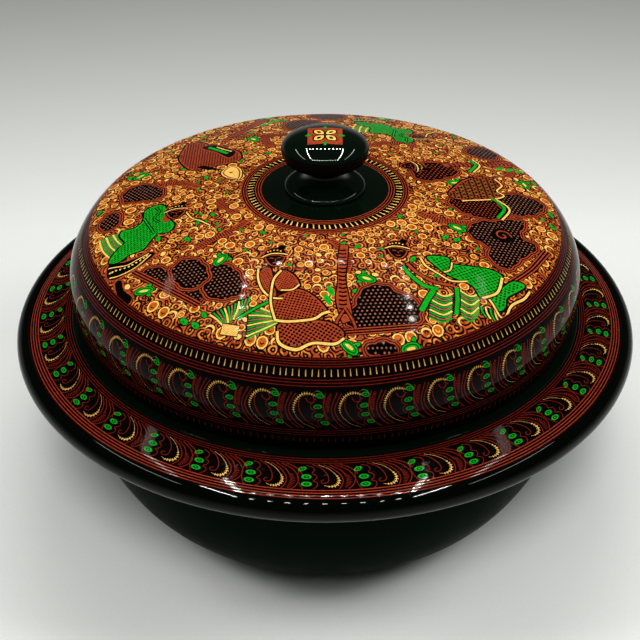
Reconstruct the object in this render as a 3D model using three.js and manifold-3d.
// Covered serving dish of lacquered bamboo and wood: a deep bowl with a wide sloping brim,
// and a domed lid that drops over the bowl's collar and lifts off by a mushroom knob.
// Millimetres, +Z up, origin at the centre of the foot's underside.
import * as THREE from "three";
import { mergeVertices } from "three/addons/utils/BufferGeometryUtils.js";
import Module from "manifold-3d";

// Gaps between pieces
const GLUE_GAP = 0.3; // between two pieces that are glued or rest on each other
const LID_FIT = 0.8; // radial play of the lid round the collar

// Bowl
const FOOT_RADIUS = 75;
const FOOT_HEIGHT = 7.2;
const FOOT_WIDTH = 9;
const FLOOR_RADIUS = 70;
const BOWL_WALL = 4.5;
const BOWL_RADIUS = 125.3; // outside of the wall at its top
const BOWL_WALL_TOP = 97;
const BOWL_FULLNESS = 1.95; // exponent of the wall's curve: 2 is an ellipse, more is squarer
const SEAT_HEIGHT = 110; // ledge that the lid rests on
const MOUTH_RADIUS = 111;
const LEDGE_WIDTH = 11.8;
const COLLAR_WALL = 3;
const COLLAR_RISE = 13; // above the ledge, inside the lid
const COLLAR_DEPTH = 12; // below the ledge, inside the mouth ring

// Brim and its rolled edge
const BRIM_STEP = 0.4; // the ledge stands this much above the brim's inner edge
const BRIM_SLOPE = THREE.MathUtils.degToRad(15);
const BRIM_THICKNESS = 4;
const RIM_RADIUS = 150;
const BEAD_RADIUS = 5.3;
const BEAD_PROUD = 1; // the bead stands this much above the brim's face
const BEAD_GRIP = 1.2; // the brim's edge stops this far short of the bead's centre

// Lid
const LID_RADIUS = 122;
const LID_FOOT_RADIUS = 118.4;
const LID_WALL = 4;
const LID_BULGE_HEIGHT = 20.6; // widest place, above the lid's foot
const LID_HEIGHT = 61.9; // top of the dome, above the lid's foot
const DOME_CURVE_RADIUS = 360;
const SHOULDER_WIDTH = 17.4;
const SHOULDER_FULLNESS = 1.93;
const CROWN_RADIUS = 111.4; // the crown is let into the wall here
const LID_HOOP_HEIGHT = 9;

// Knob
const KNOB_FOOT_RADIUS = 18.9;
const KNOB_FOOT_EDGE = 1.6;
const NECK_RADIUS = 7.35;
const NECK_HEIGHT = 8.1; // narrowest place, above the dome
const NECK_TOP_RADIUS = 9;
const HEAD_RADIUS = 20.3;
const HEAD_HEIGHT = 13.4;
const HEAD_TOP = 26.7; // above the dome
const HEAD_FULLNESS = 2.15;
const HEAD_TENON_RADIUS = 4.5;
const HEAD_TENON_DEPTH = 8;
const TENON_RADIUS = 5.5;
const TENON_STAND = 4; // the tenon's end below the washer
const WASHER_RADIUS = 16;
const WASHER_THICKNESS = 5;
const WEDGE_THICK_END = 1.6;
const WEDGE_THIN_END = 0.8;
const WEDGE_HEIGHT = 9;
const WEDGE_SHOW = 1; // the wedge's end below the tenon

// Facets
const RING_STEPS = 60;
const KNOB_STEPS = 36;
const WALL_STEPS = 8;
const DOME_STEPS = 6;
const SHOULDER_STEPS = 6;
const EDGE_STEPS = 3;
const BULGE_STEPS = 4;
const BEAD_UNDER_STEPS = 8;
const BEAD_TOP_STEPS = 5;
const NECK_STEPS = 6;
const HEAD_STEPS = 5; // above the head's widest place, and below it

// Worked out from the sizes above
const FLOOR_UNDERSIDE = FOOT_HEIGHT + GLUE_GAP;
const LEDGE_RADIUS = MOUTH_RADIUS + LEDGE_WIDTH;
const BRIM_INNER_RADIUS = LEDGE_RADIUS + GLUE_GAP;
const BEAD_CENTRE_RADIUS = RIM_RADIUS - BEAD_RADIUS;
const BRIM_EDGE_RADIUS = BEAD_CENTRE_RADIUS - BEAD_GRIP;
const COLLAR_RADIUS = MOUTH_RADIUS - GLUE_GAP;
const LID_FOOT_HEIGHT = SEAT_HEIGHT + GLUE_GAP;
const BULGE_HEIGHT = LID_FOOT_HEIGHT + LID_BULGE_HEIGHT;
const APEX_HEIGHT = LID_FOOT_HEIGHT + LID_HEIGHT;
const DOME_EDGE_RADIUS = LID_RADIUS - SHOULDER_WIDTH;
const TENON_HOLE_RADIUS = TENON_RADIUS + GLUE_GAP;
const QUARTER_TURN = Math.PI / 2;

const wasm = await Module();
wasm.setup();

// Evenly spaced numbers from one value to another, both ends included.
function spaced(from, to, steps) {
  return Array.from({ length: steps + 1 }, (_, i) => from + ((to - from) * i) / steps);
}

// Revolves an outline of [radius, height] points about +Z. An outline that doesn't start and
// end on the axis is closed on itself, which makes a ring.
function turned(outline, steps) {
  const points = outline.map(([radius, height]) => new THREE.Vector2(radius, height));
  const onAxis = outline[0][0] === 0 && outline[outline.length - 1][0] === 0;
  if (!onAxis) points.push(points[0].clone());
  return new THREE.LatheGeometry(points, steps).rotateX(QUARTER_TURN);
}

// A point on a quarter of a superellipse: turn 0 is its widest place, a quarter turn its end.
function quarterCurve(turn, width, height, fullness) {
  const across = width * Math.max(Math.cos(turn), 0) ** (2 / fullness);
  return [across, height * Math.sin(turn) ** (2 / fullness)];
}

function domeHeight(radius) {
  return APEX_HEIGHT - radius ** 2 / (2 * DOME_CURVE_RADIUS);
}

function brimHeight(radius) {
  const fall = (radius - BRIM_INNER_RADIUS) * Math.tan(BRIM_SLOPE);
  return SEAT_HEIGHT - BRIM_STEP - fall;
}

// Bowl's wall, from its top down to the foot. The inside face ends on the floor's face.
function bowlCurve(topRadius, bottomHeight) {
  return spaced(0, QUARTER_TURN, WALL_STEPS).map((turn) => {
    const [across, down] = quarterCurve(
      turn,
      topRadius - FOOT_RADIUS,
      BOWL_WALL_TOP - bottomHeight,
      BOWL_FULLNESS,
    );
    return [FOOT_RADIUS + across, BOWL_WALL_TOP - down];
  });
}

function bowlWall() {
  const seam = FLOOR_RADIUS + GLUE_GAP;
  const outside = bowlCurve(BOWL_RADIUS, FLOOR_UNDERSIDE);
  const inside = bowlCurve(BOWL_RADIUS - BOWL_WALL, FLOOR_UNDERSIDE + BOWL_WALL);
  const section = [
    ...inside,
    [seam, FLOOR_UNDERSIDE + BOWL_WALL],
    [seam, FLOOR_UNDERSIDE],
    ...outside.reverse(),
  ];
  return turned(section, RING_STEPS);
}

function bowlFloor() {
  const top = FLOOR_UNDERSIDE + BOWL_WALL;
  const section = [
    [0, FLOOR_UNDERSIDE],
    [FLOOR_RADIUS, FLOOR_UNDERSIDE],
    [FLOOR_RADIUS, top],
    [0, top],
  ];
  return turned(section, RING_STEPS);
}

function footRing() {
  return plainRing(FOOT_RADIUS - FOOT_WIDTH, FOOT_RADIUS, 0, FOOT_HEIGHT, RING_STEPS);
}

// A ring of rectangular section.
function plainRing(innerRadius, outerRadius, bottom, top, steps) {
  const section = [
    [innerRadius, bottom],
    [outerRadius, bottom],
    [outerRadius, top],
    [innerRadius, top],
  ];
  return turned(section, steps);
}

// Thick hoop on the wall's top. Its rebate carries the brim, and its ledge carries the lid.
function mouthRing() {
  const bottom = BOWL_WALL_TOP + GLUE_GAP;
  const brimUnder = BRIM_THICKNESS / Math.cos(BRIM_SLOPE) + GLUE_GAP;
  const section = [
    [MOUTH_RADIUS, bottom],
    [BOWL_RADIUS, bottom],
    [BOWL_RADIUS, brimHeight(BOWL_RADIUS) - brimUnder],
    [LEDGE_RADIUS, brimHeight(LEDGE_RADIUS) - brimUnder],
    [LEDGE_RADIUS, SEAT_HEIGHT],
    [MOUTH_RADIUS, SEAT_HEIGHT],
  ];
  return turned(section, RING_STEPS);
}

// Thin hoop inside the mouth that stands up into the lid and keeps it central.
function locatingCollar() {
  return plainRing(
    COLLAR_RADIUS - COLLAR_WALL,
    COLLAR_RADIUS,
    SEAT_HEIGHT - COLLAR_DEPTH,
    SEAT_HEIGHT + COLLAR_RISE,
    RING_STEPS,
  );
}

function brim() {
  const thickness = BRIM_THICKNESS / Math.cos(BRIM_SLOPE);
  const section = [
    [BRIM_INNER_RADIUS, brimHeight(BRIM_INNER_RADIUS) - thickness],
    [BRIM_EDGE_RADIUS, brimHeight(BRIM_EDGE_RADIUS) - thickness],
    [BRIM_EDGE_RADIUS, brimHeight(BRIM_EDGE_RADIUS)],
    [BRIM_INNER_RADIUS, brimHeight(BRIM_INNER_RADIUS)],
  ];
  return turned(section, RING_STEPS);
}

// Round hoop with a groove for the brim's edge: a lip runs in under the brim.
function rimBead() {
  const centreDrop = (BEAD_RADIUS - BEAD_PROUD) / Math.cos(BRIM_SLOPE);
  const centreHeight = brimHeight(BEAD_CENTRE_RADIUS) - centreDrop;
  const faceRadius = BRIM_EDGE_RADIUS + GLUE_GAP;
  const faceTurn = Math.acos((faceRadius - BEAD_CENTRE_RADIUS) / BEAD_RADIUS);
  const lipDepth = BEAD_RADIUS - BEAD_PROUD - BRIM_THICKNESS - GLUE_GAP;
  const lipTurn = Math.PI - BRIM_SLOPE - Math.asin(lipDepth / BEAD_RADIUS);
  const round = [
    ...spaced(lipTurn - 2 * Math.PI, 0, BEAD_UNDER_STEPS),
    ...spaced(0, faceTurn, BEAD_TOP_STEPS).slice(1),
  ].map((turn) => [
    BEAD_CENTRE_RADIUS + BEAD_RADIUS * Math.cos(turn),
    centreHeight + BEAD_RADIUS * Math.sin(turn),
  ]);
  const underBrim = (BRIM_THICKNESS + GLUE_GAP) / Math.cos(BRIM_SLOPE);
  return turned([...round, [faceRadius, brimHeight(faceRadius) - underBrim]], RING_STEPS);
}

// The lid's shell has an outside, inset 0, and an inside, whose inset is the wall's thickness.
// This is its wall from the foot to the widest place.
function lidBulge(inset) {
  return spaced(0, 1, BULGE_STEPS).map((rise) => [
    LID_RADIUS - inset - (LID_RADIUS - LID_FOOT_RADIUS) * (1 - rise) ** 2,
    LID_FOOT_HEIGHT + LID_BULGE_HEIGHT * rise,
  ]);
}

// The shoulder between two radii, the wider one first: it runs from the wall into the dome.
function lidShoulder(inset, fromRadius, toRadius, steps) {
  const width = SHOULDER_WIDTH - inset;
  const turns = [fromRadius, toRadius].map((radius) => {
    const share = Math.min((radius - DOME_EDGE_RADIUS) / width, 1);
    return Math.acos(share ** (SHOULDER_FULLNESS / 2));
  });
  return spaced(turns[0], turns[1], steps).map((turn) => {
    const [across, rise] = quarterCurve(turn, width, 1, SHOULDER_FULLNESS);
    const radius = DOME_EDGE_RADIUS + across;
    return [radius, BULGE_HEIGHT + (domeHeight(radius) - inset - BULGE_HEIGHT) * rise];
  });
}

function lidWall() {
  const face = (inset) => [
    ...lidBulge(inset),
    ...lidShoulder(inset, LID_RADIUS - inset, CROWN_RADIUS, SHOULDER_STEPS).slice(1),
  ];
  return turned([...face(0), ...face(LID_WALL).reverse()], RING_STEPS);
}

// Domed disc let into the top of the lid's wall, with the knob's hole in its middle.
function lidCrown() {
  const face = (inset) => [
    ...lidShoulder(inset, CROWN_RADIUS - GLUE_GAP, DOME_EDGE_RADIUS, EDGE_STEPS),
    ...spaced(DOME_EDGE_RADIUS, TENON_HOLE_RADIUS, DOME_STEPS)
      .slice(1)
      .map((radius) => [radius, domeHeight(radius) - inset]),
  ];
  return turned([...face(0), ...face(LID_WALL).reverse()], RING_STEPS);
}

// Strip that lines the lid's mouth and slides down round the collar.
function lidHoop() {
  return plainRing(
    COLLAR_RADIUS + LID_FIT,
    LID_FOOT_RADIUS - LID_WALL - GLUE_GAP,
    LID_FOOT_HEIGHT,
    LID_FOOT_HEIGHT + LID_HOOP_HEIGHT,
    RING_STEPS,
  );
}

// Places along the knob, upwards from the dome's top
const HEAD_CENTRE = APEX_HEIGHT + HEAD_TOP - HEAD_HEIGHT / 2;
const HEAD_SEAT_TURN = Math.acos((NECK_TOP_RADIUS / HEAD_RADIUS) ** (HEAD_FULLNESS / 2));
const HEAD_SEAT =
  HEAD_CENTRE - quarterCurve(HEAD_SEAT_TURN, HEAD_RADIUS, HEAD_HEIGHT / 2, HEAD_FULLNESS)[1];
const NECK_TOP = HEAD_SEAT - GLUE_GAP;
const WASHER_TOP = domeHeight(WASHER_RADIUS) - LID_WALL - GLUE_GAP;
const TENON_END = WASHER_TOP - WASHER_THICKNESS - TENON_STAND;

// The stem's side from the foot's edge, in to the neck and out again under the head.
function neckCurve() {
  const footTop = domeHeight(KNOB_FOOT_RADIUS) + GLUE_GAP + KNOB_FOOT_EDGE;
  const neck = APEX_HEIGHT + NECK_HEIGHT;
  const flare = spaced(0, QUARTER_TURN, NECK_STEPS).map((turn) => [
    KNOB_FOOT_RADIUS - (KNOB_FOOT_RADIUS - NECK_RADIUS) * Math.sin(turn),
    neck - (neck - footTop) * Math.cos(turn),
  ]);
  const throat = spaced(0, 1, NECK_STEPS / 2).map((rise) => [
    NECK_RADIUS + (NECK_TOP_RADIUS - NECK_RADIUS) * rise ** 2,
    neck + (NECK_TOP - neck) * rise,
  ]);
  return [...flare, ...throat.slice(1)];
}

// Cuts one geometry out of another.
function cut(geometry, tool) {
  const solid = solidOf(geometry).subtract(solidOf(tool));
  const { vertProperties, triVerts } = solid.getMesh();
  const made = new THREE.BufferGeometry();
  made.setAttribute("position", new THREE.BufferAttribute(vertProperties, 3));
  made.setIndex(new THREE.BufferAttribute(triVerts, 1));
  return made;
}

function solidOf(geometry) {
  const bare = geometry.clone();
  bare.deleteAttribute("normal");
  bare.deleteAttribute("uv");
  const merged = mergeVertices(bare, 1e-3);
  const mesh = new wasm.Mesh({
    numProp: 3,
    vertProperties: merged.attributes.position.array,
    triVerts: new Uint32Array(merged.index.array),
  });
  return new wasm.Manifold(mesh);
}

// Turned stem: foot flange, neck, a tenon up into the head and one down through the crown,
// whose end is sawn for the wedge.
function knobStem() {
  const tenonTop = HEAD_SEAT + HEAD_TENON_DEPTH - GLUE_GAP;
  const section = [
    [0, TENON_END],
    [TENON_RADIUS, TENON_END],
    [TENON_RADIUS, domeHeight(TENON_RADIUS) + GLUE_GAP],
    [KNOB_FOOT_RADIUS, domeHeight(KNOB_FOOT_RADIUS) + GLUE_GAP],
    ...neckCurve(),
    [HEAD_TENON_RADIUS, NECK_TOP],
    [HEAD_TENON_RADIUS, tenonTop],
    [0, tenonTop],
  ];
  const slotWidth = WEDGE_THICK_END + 2 * GLUE_GAP;
  const slotDepth = WEDGE_HEIGHT - WEDGE_SHOW + GLUE_GAP;
  const slot = new THREE.BoxGeometry(slotWidth, 4 * TENON_RADIUS, 2 * slotDepth);
  slot.translate(0, 0, TENON_END);
  return cut(turned(section, KNOB_STEPS), slot);
}

function knobHead() {
  const turns = [
    ...spaced(-HEAD_SEAT_TURN, 0, HEAD_STEPS),
    ...spaced(0, QUARTER_TURN, HEAD_STEPS).slice(1),
  ];
  const round = turns.map((turn) => {
    const half = quarterCurve(Math.abs(turn), HEAD_RADIUS, HEAD_HEIGHT / 2, HEAD_FULLNESS);
    return [half[0], HEAD_CENTRE + Math.sign(turn) * half[1]];
  });
  round[round.length - 1][0] = 0;
  const socketRadius = HEAD_TENON_RADIUS + GLUE_GAP;
  const socketTop = HEAD_SEAT + HEAD_TENON_DEPTH;
  const section = [[0, socketTop], [socketRadius, socketTop], [socketRadius, HEAD_SEAT], ...round];
  return turned(section, KNOB_STEPS);
}

function knobWasher() {
  const bottom = WASHER_TOP - WASHER_THICKNESS;
  return plainRing(TENON_HOLE_RADIUS, WASHER_RADIUS, bottom, WASHER_TOP, KNOB_STEPS);
}

// Driven into the tenon's saw cut from inside the lid, thin end first.
function knobWedge() {
  const outline = new THREE.Shape();
  outline.moveTo(-WEDGE_THICK_END / 2, 0);
  outline.lineTo(WEDGE_THICK_END / 2, 0);
  outline.lineTo(WEDGE_THIN_END / 2, WEDGE_HEIGHT);
  outline.lineTo(-WEDGE_THIN_END / 2, WEDGE_HEIGHT);
  outline.closePath();
  const width = 2 * TENON_RADIUS;
  const wedge = new THREE.ExtrudeGeometry(outline, { depth: width, bevelEnabled: false });
  return wedge.translate(0, 0, -width / 2).rotateX(QUARTER_TURN);
}

const lacquer = {
  black: { color: 0x0b0c0a, roughness: 0.12, metalness: 0 },
  incised: { color: 0x6e2a12, roughness: 0.2, metalness: 0 },
  red: { color: 0x7a1f12, roughness: 0.25, metalness: 0 },
};
const bareWood = { color: 0xb58a55, roughness: 0.7, metalness: 0 };

function piece(name, geometry, finish) {
  const mesh = new THREE.Mesh(geometry, new THREE.MeshStandardMaterial(finish));
  mesh.name = name;
  return mesh;
}

const bowl = new THREE.Group();
bowl.add(
  piece("foot_ring", footRing(), lacquer.black),
  piece("bowl_floor", bowlFloor(), lacquer.red),
  piece("bowl_wall", bowlWall(), lacquer.black),
  piece("mouth_ring", mouthRing(), lacquer.black),
  piece("locating_collar", locatingCollar(), lacquer.red),
  piece("brim", brim(), lacquer.incised),
  piece("rim_bead", rimBead(), lacquer.black),
);

const knob = new THREE.Group();
const wedge = piece("knob_wedge", knobWedge(), bareWood);
wedge.position.z = TENON_END - WEDGE_SHOW;
knob.add(
  piece("knob_stem", knobStem(), lacquer.black),
  piece("knob_head", knobHead(), lacquer.black),
  piece("knob_washer", knobWasher(), bareWood),
  wedge,
);

const lid = new THREE.Group();
lid.add(
  piece("lid_hoop", lidHoop(), lacquer.red),
  piece("lid_wall", lidWall(), lacquer.incised),
  piece("lid_crown", lidCrown(), lacquer.incised),
  knob,
);

const dish = new THREE.Group();
dish.add(bowl, lid);

export default dish;
